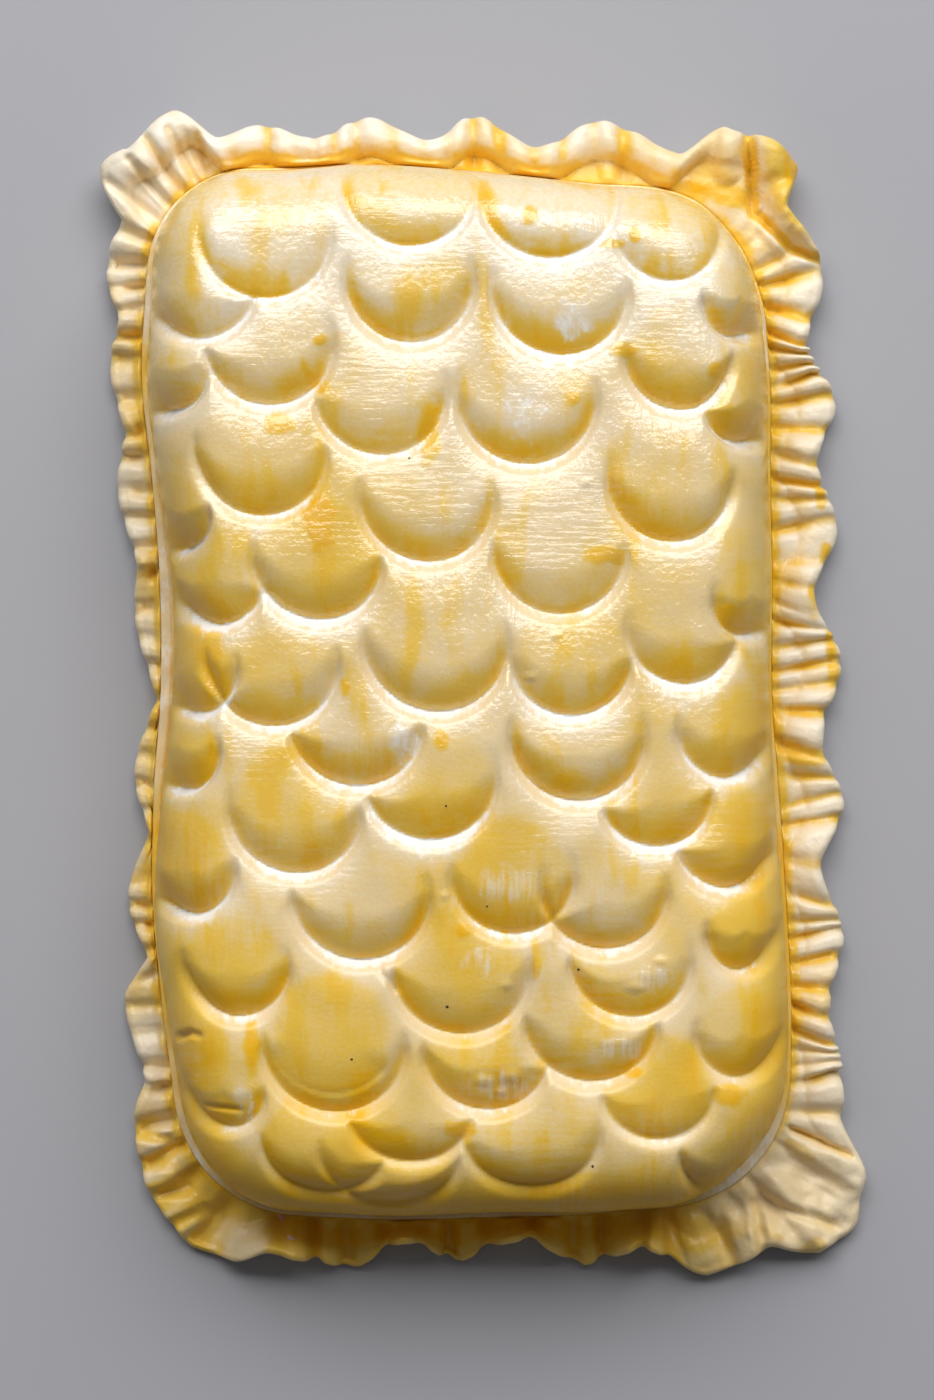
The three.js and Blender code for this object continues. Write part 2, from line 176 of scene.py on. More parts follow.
# Rolled folds of the border: both ends in millimetres, height and half width
ROLLS = (
    (76.4, 132, 77.6, 120.5, 4.6, 3.2), (77.6, 120.5, 82, 112.5, 4.6, 3.2),
    (82, 112.5, 88, 106.5, 3.8, 2.8), (67.2, 133, 66, 123.5, 2.4, 2.2),
    (70.8, -118.5, 81.2, -123.8, 2, 2.6), (67, -128, 81, -130, 2.2, 3),
    (76.4, -109, 86.8, -113, 1.8, 2.2), (51, -129, 54, -138, 2, 3), (-74, 126, -66, 116, 1.2, 2.2),
    (-68, 131, -61, 119.5, 1.2, 2.2),
)

# Egg wash that lies on the border: both ends in millimetres, thickness and half width
BORDER_WASH = (
    (81.6, 131, 81.2, 121, 1.6, 2), (80.5, 119, 87, 110.5, 0.6, 1.8), (77, 131, 78, 119, 0.25, 4),
    (78, 119, 87, 107, 0.35, 4), (72, 131, 72.2, 114, 0.9, 1), (73, 113.5, 80.6, 105.2, 0.9, 1.2),
    (80.6, 105.2, 88.5, 102.5, 0.8, 1.2), (54, 121, 71, 116.5, 0.9, 2.6),
    (-86, -113, -76, -112, 0.7, 1.2), (-84, -120, -74, -117.5, 0.5, 1.2), (86, 48, 86, 44, 0.9, 1.1),
    (87, 34, 86.6, 31, 0.8, 1.3), (83.3, 24, 83.6, 18, 0.6, 1.5), (87.6, 13, 88, 3, 1, 1.3),
    (76, -15.5, 84, -16, 0.7, 2), (77.5, -134, 80, -132, 2.6, 1.6), (68.5, -128, 70.5, -130, 2.2, 1.4),
    (74.2, -108.2, 79, -111.4, 2.6, 1.2),
)

# Where the border is dry and dull, as such spots
DRY_SPOTS = ((74, -120, 30, 30), (-58, -130, 10, 7))

# How firm a press is against a full one: where the spoon slipped, and in the far and the near row
SLIPPED_FIRM, FAR_FIRM, NEAR_FIRM = 0.45, 0.65, 0.75
FAR_ROW, NEAR_ROW = 88, -98  # presses with their tip past these places, in millimetres, are in those rows
OVERLAP_REACH = 50  # how near two tips are, in millimetres, where one press can cover the other
ARC_FADE = (70, 118)  # degrees from the tip between which a groove fades out
SOFT_END = 14  # degrees to each side of a slipped press's end over which its line fades

# A press's groove in millimetres: the rounding of its bottom, the width of its steep flanks, and that of
# its broad ones at the sides with what they gain at the tip
GROOVE_ROUND = 0.22
STEEP_INSIDE, STEEP_OUTSIDE = 1.3, 3
BROAD_INSIDE, BROAD_OUTSIDE, BROAD_MORE = 4, 3, 8

# Egg wash in a groove in millimetres: how far it reaches up the scale, and the line where it is thickest
GOLD_REACH = 9.5
YOLK_INSIDE, YOLK_HALF = 1.2, 1.3

# Small heights in millimetres: the lip's rounding and lumps, and drops, lumps and beads on the lid
LIP_ROUND, LIP_LUMP = 0.5, 0.6
DROP_RISE, LID_LUMP, BEAD_RISE = 0.13, 0.14, 0.4

# The border in millimetres: its gap to the lid, how far out a crease slants, how deep a crease and a fold
# are where wash fills them, and the least height of its upper face
LID_GAP = 0.1
SLANT_REACH = 12
FULL_CREASE, FULL_FOLD = 2.4, 2
LEAST_TOP = 2.2

SENSOR = 36  # long side of the camera's sensor in millimetres

# Grid lines of the lid beside its edge, as plan distances in millimetres: the lip, its crease and the wall
EDGE_LINES = (0, 0.12, 0.3, 0.6, 1, 1.4, 1.75, 2.05, 2.3, 2.5, 2.7, 2.95, 3.25, 3.6, 4, 4.5, 5, 5.5, 6.1)


def length(name, description, default):
    """A length property, in metres."""
    return FloatProperty(name=name, description=description, default=default, unit="LENGTH", precision=4)


def sides(name, description, *default):
    """A length property on the far, right, near and left side, in metres."""
    return FloatVectorProperty(
        name=name, description=description, default=default, size=4, unit="LENGTH", precision=4
    )


def number(name, description, default):
    """A property without a unit."""
    return FloatProperty(name=name, description=description, default=default)


def colour(name, description, default):
    """A linear colour property."""
    return FloatVectorProperty(
        name=name, description=description, default=default, subtype="COLOR", size=3, min=0, max=1
    )


class WellingtonLid(bpy.types.PropertyGroup):
    """Sizes of the domed lid and of the spoon's presses"""

    foot_width: length("Foot width", "Across the lid's foot", 0.148)
    foot_length: length("Foot length", "Along the lid's foot", 0.249)
    far_left: length("Far left corner", "Corner radius of the foot", 0.027)
    far_right: length("Far right corner", "Corner radius of the foot", 0.036)
    near_right: length("Near right corner", "Corner radius of the foot", 0.033)
    near_left: length("Near left corner", "Corner radius of the foot", 0.029)
    lean: number("Lean", "Sideways shift for each unit along", -0.03)
    plateau: length("Plateau", "Height of the lid inside its shoulders", 0.042)
    crown: length("Crown", "How much higher the middle is", 0.005)
    shoulder: length("Shoulder", "Plan width over which the wall rounds over", 0.020)
    near_shoulder: length("Near shoulder", "The same width at the near end", 0.036)
    shoulder_power: number("Shoulder power", "Squareness of the shoulder", 2.6)
    near_power: number("Near power", "The same at the near end", 4)
    lip_width: length("Lip width", "The lid's cut edge round its foot", 0.0013)
    lip_top: length("Lip top", "Height of the cut edge's upper face", 0.0076)
    crease_depth: length("Crease depth", "Fold line between lip and wall", 0.0005)
    uneven: length("Uneven", "Soft lumps of the filling under the sheet", 0.0007)
    press_depth: length("Press depth", "Depth of the scales' grooves", 0.0047)
    cell: length("Cell", "Spacing of the lid's grid lines", 0.00068)


class WellingtonBorder(bpy.types.PropertyGroup):
    """Sizes of the ruffled border, four-sided ones as far, right, near and left"""

    lift: sides("Lift", "Rise of the edge between lobes", 0.002, 0.0025, 0.0085, 0.002)
    rope: sides("Rope", "Height of the rolled edge", 0.0042, 0.0016, 0.0012, 0.0012)
    thickness: sides("Thickness", "Thickness of the edge", 0.0062, 0.0046, 0.0034, 0.0042)
    droop: sides("Droop", "Fall of the lobes towards their edge", 0.0002, 0.0012, 0.0026, 0.0012)
    pitch: sides("Pitch", "Spacing of the pleats", 0.0062, 0.0058, 0.0075, 0.0068)
    crease: sides("Crease", "Depth of the creases", 0.0024, 0.0026, 0.0042, 0.0032)
    rope_half: length("Rope half width", "Half the width of the rolled edge", 0.0046)
    inner_top: length("Inner top", "Height where the border meets the lid", 0.0068)
    web_top: length("Web top", "Height of the border between the lid and its edge", 0.0056)
    sheet_top: length("Sheet top", "Thickness of the sheet under the lid", 0.004)
    rounds: IntProperty(name="Rounds", description="Grid lines round the border", default=1900, min=100)


class WellingtonWash(bpy.types.PropertyGroup):
    """Colours of the pastry and its egg wash, and the white used for painted highlights"""

    dough: colour("Dough", "Bare raw pastry", (0.87, 0.70, 0.435))
    washed: colour("Washed", "Pastry under a thin coat of egg wash", (0.88, 0.58, 0.085))
    pool: colour("Pool", "Egg wash gathered in a groove", (0.90, 0.495, 0.006))
    # Pale colour of bare, thinly washed pastry, also mixed in for painted highlights, painted sheen and
    # painted glints
    pale_and_highlight: colour("Stretched", "Bare pastry stretched white beside a groove", (0.96, 0.95, 0.92))
    pepper: colour("Pepper", "Dark specks", (0.06, 0.035, 0.015))
    salmon: colour("Salmon", "A shred of the filling", (0.80, 0.52, 0.42))


class WellingtonStage(bpy.types.PropertyGroup):
    """The floor, the light and the camera"""

    floor: colour("Floor", "Plain pale floor", (0.42, 0.425, 0.465))
    camera_height: length("Camera height", "Camera above the floor", 0.95)
    view_length: length("View length", "Floor length that the picture's long side takes in", 0.336)
    view_x: length("View X", "Picture centre from the lid's middle", 0.0004)
    view_y: length("View Y", "Picture centre from the lid's middle", -0.0023)


def smooth(low, high, value):
    """A soft step from 0 at low to 1 at high."""
    share = np.clip((value - low) / (high - low), 0, 1)
    return share * share * (3 - 2 * share)


def lumps(x, y, size, seed):
    """Soft seeded unevenness over the plan, from about -1 to 1, with bumps of the given size."""
    places = zip((x / size).ravel().tolist(), (y / size).ravel().tolist())
    values = [noise.noise(Vector((a, b, seed * 7.31))) for a, b in places]
    return np.array(values).reshape(x.shape)


def stray(side, at, half):
    """How far the lid's edge strays outwards along a side, as a smooth curve through the steps."""
    steps = np.array(STRAYS[side]) * MM
    place = np.clip(at / (half * MM) / 2 + 0.5, 0, 1) * (len(steps) - 1)
    low = np.clip(np.floor(place).astype(int), 0, len(steps) - 2)
    share = place - low
    before, first, second, after = (steps[np.clip(low + k, 0, len(steps) - 1)] for k in (-1, 0, 1, 2))
    bend = 2 * before - 5 * first + 4 * second - after
    twist = 3 * (first - second) + after - before
    return first + share / 2 * (second - before + share * (bend + share * twist))


def strayed(x, y, lid):
    """Plan points of the even foot moved to the hand-cut one."""
    sideways = np.where(x > 0, stray("right", y, STRAY_ALONG), stray("left", y, STRAY_ALONG))
    endways = np.where(y > 0, stray("far", x, STRAY_ACROSS), stray("near", x, STRAY_ACROSS))
    return x * (1 + 2 * sideways / lid.foot_width), y * (1 + 2 * endways / lid.foot_length)


def foot_outline(share, lid):
    """Points and outward directions of the even foot's outline, anticlockwise from the middle of the
    right side, and its length."""
    right, far = lid.foot_width / 2, lid.foot_length / 2
    quarter = math.pi / 2
    pieces = []
    at = Vector((right, 0))
    for turn, (name, (sign_x, sign_y)) in enumerate(CORNERS.items()):
        radius = getattr(lid, name)
        centre = Vector((sign_x * (right - radius), sign_y * (far - radius)))
        start = centre + radius * Vector((math.cos(turn * quarter), math.sin(turn * quarter)))
        pieces.append((at, start, 0, turn * quarter, (start - at).length))
        pieces.append((centre, centre, radius, turn * quarter, radius * quarter))
        at = centre + radius * Vector((math.cos((turn + 1) * quarter), math.sin((turn + 1) * quarter)))
    pieces.append((at, Vector((right, 0)), 0, 0, abs(at.y)))
    total = sum(piece[-1] for piece in pieces)
    x, y, heading = np.zeros_like(share), np.zeros_like(share), np.zeros_like(share)
    begun = 0.0
    for first, second, radius, turn, long in pieces:
        inside = (share * total >= begun - 1e-9) & (share * total < begun + long - 1e-9)
        part = (share[inside] * total - begun) / long
        heading[inside] = turn + (part * quarter if radius else 0)
        x[inside] = first.x + (second.x - first.x) * part + radius * np.cos(heading[inside])
        y[inside] = first.y + (second.y - first.y) * part + radius * np.sin(heading[inside])
        begun += long
    return x, y, np.cos(heading), np.sin(heading), total


def lid_middle(lid):
    """Where the lid's own middle stands in the frame, from the box that its solid fills there."""
    x, y = foot_outline(np.arange(2000) / 2000, lid)[:2]
    x, y = strayed(x, y, lid)
    x = x + lid.lean * y
    across = (LID_LOW.x + LID_HIGH.x) / 2 - (x.min() + x.max()) / 2
    along = (LID_LOW.y + LID_HIGH.y) / 2 - (y.min() + y.max()) / 2
    return float(across), float(along)


def leaned(points, lid):
    """Points from the lid's own plan to the frame: the parcel leans and stands off the origin."""
    across, along = lid_middle(lid)
    x, y, z = points[..., 0], points[..., 1], points[..., 2]
    return np.stack([x + lid.lean * y + across, y + along, z], axis=-1)


def into_foot(x, y, lid):
    """Moves points of the foot's full rectangle into the rounded foot. Gives the points and their
    distance from the lid's edge."""
    radius = np.where(
        y > 0,
        np.where(x < 0, lid.far_left, lid.far_right),
        np.where(x < 0, lid.near_left, lid.near_right),
    )
    across = np.abs(x) - (lid.foot_width / 2 - radius)
    along = np.abs(y) - (lid.foot_length / 2 - radius)
    reach = np.maximum(across, along)
    inset = radius - reach
    corner = (across > 0) & (along > 0)
    safe = np.where(corner, reach, 1)
    turn = np.where(corner, np.minimum(across, along) / safe, 0) * math.pi / 4
    turn = np.where(across >= along, turn, math.pi / 2 - turn)
    moved_x = np.sign(x) * (np.abs(x) - across + reach * np.cos(turn))
    moved_y = np.sign(y) * (np.abs(y) - along + reach * np.sin(turn))
    return np.where(corner, moved_x, x), np.where(corner, moved_y, y), inset


def nearness(y, lid):
    """How far a plan point lies towards the near end: 0 from the middle back, 1 at the end."""
    return np.clip(-2 * y / lid.foot_length, 0, 1)


def lid_height(x, y, inset, lip, lid):
    """Height of the lid before it is pressed, with the lip's own width at each point."""
    deep = lid.crease_depth * np.clip(lip / lid.lip_width, 1, 2)
    crease = lid.lip_top - deep
    edge = np.clip(inset / (LIP_ROUND * MM), 0, 1)
    flat = lid.lip_top - LIP_ROUND * MM * (1 - np.sqrt(1 - (1 - edge) ** 2))
    flat = flat - deep * smooth(0.6, 1, inset / lip)
    near_end = nearness(y, lid) ** 4
    shoulder = lid.shoulder + (lid.near_shoulder - lid.shoulder) * near_end
    rise = np.clip((inset - lip) / shoulder, 0, 1)
    power = lid.shoulder_power + (lid.near_power - lid.shoulder_power) * near_end
    wall = (1 - (1 - rise) ** power) ** (1 / power)
    crown = lid.crown * (1 - (2 * x / lid.foot_width) ** 2) * (1 - (2 * y / lid.foot_length) ** 2)
    swell = lid.uneven * np.sin(x / 0.017 + 1) * np.sin(y / 0.023 + 2)
    return np.where(inset <= lip, flat, crease + (lid.plateau - crease + crown + swell) * wall)


def press(x, y, depth):
    """The spoon's presses at plan points: depth below the smooth lid, egg wash gathered in the grooves,
    the pale slope outside them, thinly washed and with a painted highlight, and the thin wash on each scale."""
    rng = random.Random(SEED)
    deepest, pooled, bare_and_highlight, film = (np.zeros_like(x) for _ in range(4))
    uneven = 1 + 0.7 * lumps(x, y, 0.011, 12)
    inner = [
        smooth(0.5, 2.5, radius - np.hypot(x / MM - tip_x, y / MM - tip_y - radius))
        for tip_x, tip_y, radius in SCALES
    ]
    for tip_x, tip_y, radius, begin, end in [(*mark, -180, 180) for mark in SCALES] + list(DOUBLE_PRESSES):
        whole = end - begin == 360
        covered = np.zeros_like(x)
        if whole:
            for (over_x, over_y, _), within in zip(SCALES, inner):
                if over_y > tip_y + 5 and math.hypot(over_x - tip_x, over_y - tip_y) < OVERLAP_REACH:
                    covered = np.maximum(covered, within)
        firm = rng.uniform(0.8, 1.15) * (1 if whole else SLIPPED_FIRM)
        firm = firm * (FAR_FIRM if tip_y > FAR_ROW else NEAR_FIRM if tip_y < NEAR_ROW else 1)
        wash = rng.uniform(0.6, 1.3)
        yolk = rng.uniform(0.7, 1.5)
        side = math.radians(rng.uniform(-60, 30))
        # How white a crescent is painted: partly a painted highlight, fading towards the near end where less
        # light falls
        pale = rng.uniform(0.8, 1.5) * whole * (1 - 0.65 * smooth(30, 110, -tip_y))
        across = x - tip_x * MM
        along = y - (tip_y + radius) * MM
        from_middle = np.hypot(across, along)
        beyond = from_middle - radius * MM
        turn = np.arctan2(across, -along)
        degrees = np.degrees(turn)
        bottom = np.clip(np.cos(turn), 0, 1)
        strength = (1 - covered) * (1 - smooth(*ARC_FADE, np.abs(degrees)))
        strength = strength * smooth(begin - SOFT_END, begin + SOFT_END, degrees)
        strength = strength * (1 - smooth(end - SOFT_END, end + SOFT_END, degrees))
        spread = 0.42 + 0.58 * bottom
        near = np.hypot(beyond, GROOVE_ROUND * MM)
        inside = beyond < 0
        steep = np.where(inside, STEEP_INSIDE, STEEP_OUTSIDE) * spread * MM
        broad = (np.where(inside, BROAD_INSIDE, BROAD_OUTSIDE) + BROAD_MORE * bottom) * MM
        keen = np.where(inside, 0.18, 0.6)
        bend = np.where(inside, 2, 1.5)
        flank = keen * np.clip(1 - near / steep, 0, 1) ** bend
        flank = flank + (1 - keen) * np.clip(1 - near / broad, 0, 1) ** 2
        deepest = np.maximum(deepest, depth * firm * strength * (0.5 + 0.5 * bottom) * flank)
        facing = np.clip(np.cos(turn - side), 0, 1)
        golden = wash * (1 - smooth(0, 1, -beyond / (GOLD_REACH * spread * uneven * MM))) * facing * whole
        line = yolk * np.exp(-(((beyond / MM + YOLK_INSIDE) / YOLK_HALF) ** 2)) * (0.2 + 0.8 * facing)
        within = 1 - smooth(-0.5, 0.4, beyond / MM)
        pooled = np.maximum(pooled, strength * np.clip(np.maximum(golden, line) * within, 0, 1))
        # The crescent outside a groove: thin wash, and a painted highlight on the slope that faces the light
        crescent = 1 - smooth(0.1, 1.15, beyond / steep)
        crescent = np.maximum(crescent, 0.38 * (1 - smooth(0.4, 2.6, beyond / steep)))
        crescent = crescent * smooth(-0.8, 0.6, beyond / MM) * bottom
        crescent = crescent * (0.5 + 0.5 * np.clip(np.cos(turn + side), 0, 1))
        bare_and_highlight = np.maximum(bare_and_highlight, strength * crescent * pale)
        middle = np.clip(1 - from_middle / (radius * MM), 0, 1)
        film = np.maximum(film, (1 - covered) * rng.uniform(0, 0.31) * smooth(0, 0.25, middle))
    return deepest, pooled, bare_and_highlight, film


def off_spot(x, y, spot):
    """Squared distance of plan points from a spot's middle, which is 1 on its outline."""
    spot_x, spot_y, wide, long = spot
    return ((x / MM - spot_x) / wide) ** 2 + ((y / MM - spot_y) / long) ** 2


def ragged_spots(x, y, spots):
    """Where spots with ragged edges lie at plan points, from 0 to 1."""
    ragged = 1 + 0.8 * lumps(x, y, 0.0024, 5)
    within = np.zeros_like(x)
    for spot in spots:
        within = np.maximum(within, 1 - smooth(0.25, 1.6, off_spot(x, y, spot) * ragged))
    return within


def beads(x, y):
    """Beads of egg wash that stand up on the lid, from 0 to 1."""
    raised = np.zeros_like(x)
    for bead in WASH_BEADS:
        raised = np.maximum(raised, np.clip(1 - off_spot(x, y, bead), 0, 1) ** 0.7)
    return raised


def cut(x, y, lines, full=2.0):
    """Depth or height of rounded forms along straight lines, fading at both ends: soft at 2, and full and
    round as a roll below 1."""
    deepest = np.zeros_like(x)
    for first_x, first_y, second_x, second_y, depth, half in lines:
        along_x, along_y = (second_x - first_x) * MM, (second_y - first_y) * MM
        part = ((x - first_x * MM) * along_x + (y - first_y * MM) * along_y) / (along_x**2 + along_y**2)
        held = np.clip(part, 0, 1)
        away = np.hypot(x - first_x * MM - held * along_x, y - first_y * MM - held * along_y) / (half * MM)
        faded = 0.75 + 0.25 * smooth(0, 0.3, held) * (1 - smooth(0.7, 1, held))
        deepest = np.maximum(deepest, depth * MM * faded * np.clip(1 - (away / 1.5) ** 2, 0, 1) ** full)
    return deepest


def grid_lines(full, cell):
    """Grid lines over a length: close together at both ends, even between."""
    edge = np.array(EDGE_LINES) * MM - full / 2
    inner = full / 2 - EDGE_LINES[-1] * MM
    count = int(round(2 * inner / cell))
    middle = np.linspace(-inner, inner, count + 1)[1:-1]
    return np.concatenate([edge, middle, -edge[::-1]])


def lid_surface(lid):
    """The lid's upper surface as a grid of points in rows, with its masks."""
    flat_x, flat_y = np.meshgrid(grid_lines(lid.foot_width, lid.cell), grid_lines(lid.foot_length, lid.cell))
    even_x, even_y, inset = into_foot(flat_x, flat_y, lid)
    lip = lid.lip_width * (1 + 0.6 * lumps(even_x, even_y, 0.028, 2))
    for wide_x, wide_y, wide, reach in WIDE_LIPS:
        away = np.hypot(even_x - wide_x * MM, even_y - wide_y * MM) / (reach * MM)
        lip = lip + wide * MM * np.exp(-(away**2))
    z = lid_height(even_x, even_y, inset, lip, lid)
    x, y = strayed(even_x, even_y, lid)
    depth, pooled, bare_and_highlight, film = press(x, y, lid.press_depth)
    above = smooth(0, 0.003, inset - lip)
    points = np.stack([x, y, z], axis=-1)
    normal = np.cross(np.gradient(points, axis=1), np.gradient(points, axis=0))
    normal /= np.linalg.norm(normal, axis=-1, keepdims=True) + 1e-12
    wet = ragged_spots(x, y, YOLK_DROPS)
    raised = (DROP_RISE * wet + LID_LUMP * lumps(x, y, 0.006, 8) + BEAD_RISE * beads(x, y)) * MM
    points = points + normal * ((raised - depth - cut(x, y, NICKS)) * above)[..., None]
    on_lip = 1 - smooth(0.75, 1.05, inset / lip)
    points[..., 2] += on_lip * LIP_LUMP * MM * lumps(x, y, 0.008, 3)
    seam = np.exp(-((((inset - lip) / MM - 0.2) / 0.6) ** 2)) * (0.75 + 0.5 * lumps(x, y, 0.02, 4))
    seam = np.maximum(seam, 0.5 * on_lip * np.clip(1.9 - lip / lid.lip_width, 0, 1))
    pale_lip = 0.5 * on_lip * np.clip(lip / lid.lip_width - 1.5, 0, 1)
    bare_and_highlight = np.maximum(bare_and_highlight, 0.5 * ragged_spots(x, y, BARE_PATCHES))
    wall = 1 - smooth(0.003, 0.018, inset)
    low = np.where(y < 0, 0.5, -0.1) * (2 * y / lid.foot_length) ** 2 + 0.3
    near_end = nearness(y, lid)
    far_end = smooth(0.1, 0.8, 2 * y / lid.foot_length)
    brushed = (0.3 + 0.7 * smooth(-0.08, 0.02, y)) * (1 - 0.75 * wall * (1 - far_end))
    gleam = ragged_spots(x, y, WET_PATCHES) * above
    # Wash that runs down the walls and gathers towards the near end; thinned towards the far end, partly as
    # painted sheen
    run_and_painted_light = wall * smooth(0, 0.0008, inset - lip) * low + 0.15 * near_end**2
    run_and_painted_light = run_and_painted_light + film * (1 - 0.3 * far_end) - 0.1 * far_end
    return points, {
        "pool": np.maximum(pooled * above, np.clip(seam, 0, 1)),
        "drop": 0.72 * wet * above,
        "brushed": np.maximum(brushed, gleam),
        "gleam": gleam,
        # Pale crescents and patches, with their painted highlight kept off the near wall, which lies in
        # shade; and the lip's pale, unwashed edge
        "bare_and_highlight": np.maximum(bare_and_highlight * above * (1 - 0.9 * wall * near_end), pale_lip),
        # Painted sheen: the far end mixed towards white where the light falls on it
        "painted_sheen": smooth(0.35, 0.95, 2 * y / lid.foot_length),
        "run_and_painted_light": run_and_painted_light,
    }


def grid_mesh(points, masks):
    """A bmesh grid laid on rows of points, with its masks as point attributes."""
    rows, columns = points.shape[:2]
    bm = bmesh.new()
    made = bmesh.ops.create_grid(bm, x_segments=columns - 1, y_segments=rows - 1, size=1)
    order = sorted(made["verts"], key=lambda v: (round(v.co.y * (rows - 1)), round(v.co.x * (columns - 1))))
    places = points.reshape(-1, 3).tolist()
    for vert, place in zip(order, places):
        vert.co = place
    for index, vert in enumerate(order):
        vert.index = index
    bm.verts.sort()
    for key, values in masks.items():
        layer = bm.verts.layers.float.new(key)
        for vert, value in zip(bm.verts, values.ravel().tolist()):
            vert[layer] = value
    return bm


def finished(name, bm, material, node=None):
    """A smooth object from a bmesh, riding on the part."""
    bmesh.ops.recalc_face_normals(bm, faces=bm.faces)
    mesh = bpy.data.meshes.new(name)
    bm.to_mesh(mesh)
    bm.free()
    mesh.shade_smooth()
    mesh.materials.append(material)
    piece = bpy.data.objects.new(name, mesh)
    bpy.context.scene.collection.objects.link(piece)
    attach(piece, "root")
    if node:
        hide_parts(node)
    return piece


class Finish:
    """A material's node tree, with short calls to add and join nodes."""

    def __init__(self, name):
        self.material = bpy.data.materials.new(name)
        self.material.use_nodes = True
        self.tree = self.material.node_tree
        self.shader = self.tree.nodes["Principled BSDF"]
        self.coords = self.tree.nodes.new("ShaderNodeTexCoord").outputs["Object"]

    def put(self, socket, value):
        """A value or another node's output on a socket."""
        if isinstance(value, bpy.types.NodeSocket):
            self.tree.links.new(value, socket)
        else:
            socket.default_value = value

    def node(self, kind, settings=None, **inputs):
        """A node with settings on itself and values or links on its inputs."""
        made = self.tree.nodes.new(kind)
        for key, value in (settings or {}).items():
            setattr(made, key, value)
        for key, value in inputs.items():
            self.put(made.inputs[key.replace("_", " ")], value)
        return made

    def mask(self, name):
        """A point attribute of the piece."""
        return self.node("ShaderNodeAttribute", {"attribute_name": name}).outputs["Fac"]

    def blotch(self, stretch, low=0.35, high=0.65, detail=2, rough=0.5, shift=0):
        """Soft-edged noise from 0 to 1, with stretch in patches to the metre along each axis."""
        mapped = self.node("ShaderNodeMapping", Vector=self.coords, Scale=stretch, Location=(shift,) * 3)
        look = {"Vector": mapped.outputs[0], "Scale": 1, "Detail": detail, "Roughness": rough}
        cloud = self.node("ShaderNodeTexNoise", **look).outputs["Fac"]
        soft = {"interpolation_type": "SMOOTHSTEP"}
        ramp = self.node("ShaderNodeMapRange", soft, Value=cloud, From_Min=low, From_Max=high)
        return ramp.outputs["Result"]

    def math(self, operation, a, b=0.0, clamp=False):
        """A math node on two values or links."""
        made = self.tree.nodes.new("ShaderNodeMath")
        made.operation = operation
        made.use_clamp = clamp
        self.put(made.inputs[0], a)
        self.put(made.inputs[1], b)
        return made.outputs[0]

    def sum(self, *terms):
        """Sum of values, links and pairs of a link and its factor, kept from 0 to 1."""
        total, *others = (self.scaled(*term) if isinstance(term, tuple) else term for term in terms)
        for other in others:
            total = self.math("ADD", total, other)
        return self.math("ADD", total, 0.0, clamp=True)

    def scaled(self, value, factor):
        """A value times a factor."""
        return self.math("MULTIPLY", value, factor)

    def mix(self, factor, a, b):
        """A colour mix of two colours or links."""
        made = self.tree.nodes.new("ShaderNodeMix")
        made.data_type = "RGBA"
        self.put(made.inputs["Factor"], factor)
        colours = [socket for socket in made.inputs if socket.type == "RGBA"]
        for socket, value in zip(colours, (a, b)):
            self.put(socket, value if isinstance(value, bpy.types.NodeSocket) else (*value, 1))
        return next(socket for socket in made.outputs if socket.type == "RGBA")

    def wash_colour(self, thickness, wash):
        """Pastry's colour under egg wash, from bare at 0 to a pool at 1."""
        thin = self.sum((thickness, 2))
        thick = self.sum((thickness, 2), -1)
        return self.mix(thick, self.mix(thin, wash.dough, wash.washed), wash.pool)

    def bump(self, height, strength, distance, *sockets):
        """A bump of a height in metres on some of the shader's normals."""
        made = self.node("ShaderNodeBump", Strength=strength, Distance=distance, Height=height)
        for socket in sockets:
            self.put(self.shader.inputs[socket], made.outputs["Normal"])

    def settings(self, **values):
        """Values or links on the shader's sockets."""
        for key, value in values.items():
            self.put(self.shader.inputs[key.replace("_", " ")], value)


